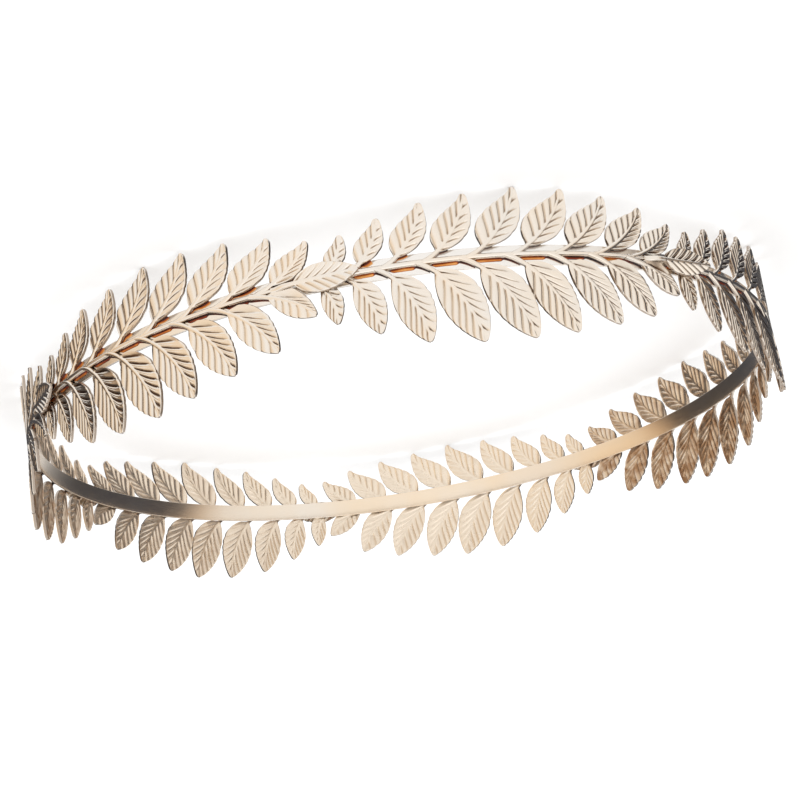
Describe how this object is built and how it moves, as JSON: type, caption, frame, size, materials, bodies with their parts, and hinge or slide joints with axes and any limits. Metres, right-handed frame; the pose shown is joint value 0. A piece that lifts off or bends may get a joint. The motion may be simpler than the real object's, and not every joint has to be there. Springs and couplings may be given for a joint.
{
  "type": "olive leaf crown",
  "caption": "Open metal crown: a flat round hoop ringed outside by stamped olive sprigs, with paired veined leaves pointing up and down along a raised stem.",
  "frame": {"origin": "on the hoop's axis, in the plane that the lowest leaf tips rest on", "axes": "+Z along the hoop's axis, up from the surface that the crown rests on; -Y towards the side that faces the viewer of the picture; the sprigs run clockwise seen from +Z"},
  "size_m": [0.1842, 0.185, 0.0333],
  "materials": {
    "hoop_metal": "satin pale gold plate, smooth inside",
    "leaf_metal": "polished pale gold plate with darker valleys between the veins"
  },
  "bodies": {
    "root": {"band": "hoop_metal", "sprig_1": "leaf_metal", "sprig_2": "leaf_metal", "sprig_3": "leaf_metal", "sprig_4": "leaf_metal", "sprig_5": "leaf_metal", "sprig_6": "leaf_metal", "sprig_7": "leaf_metal"}
  },
  "joints": []
}
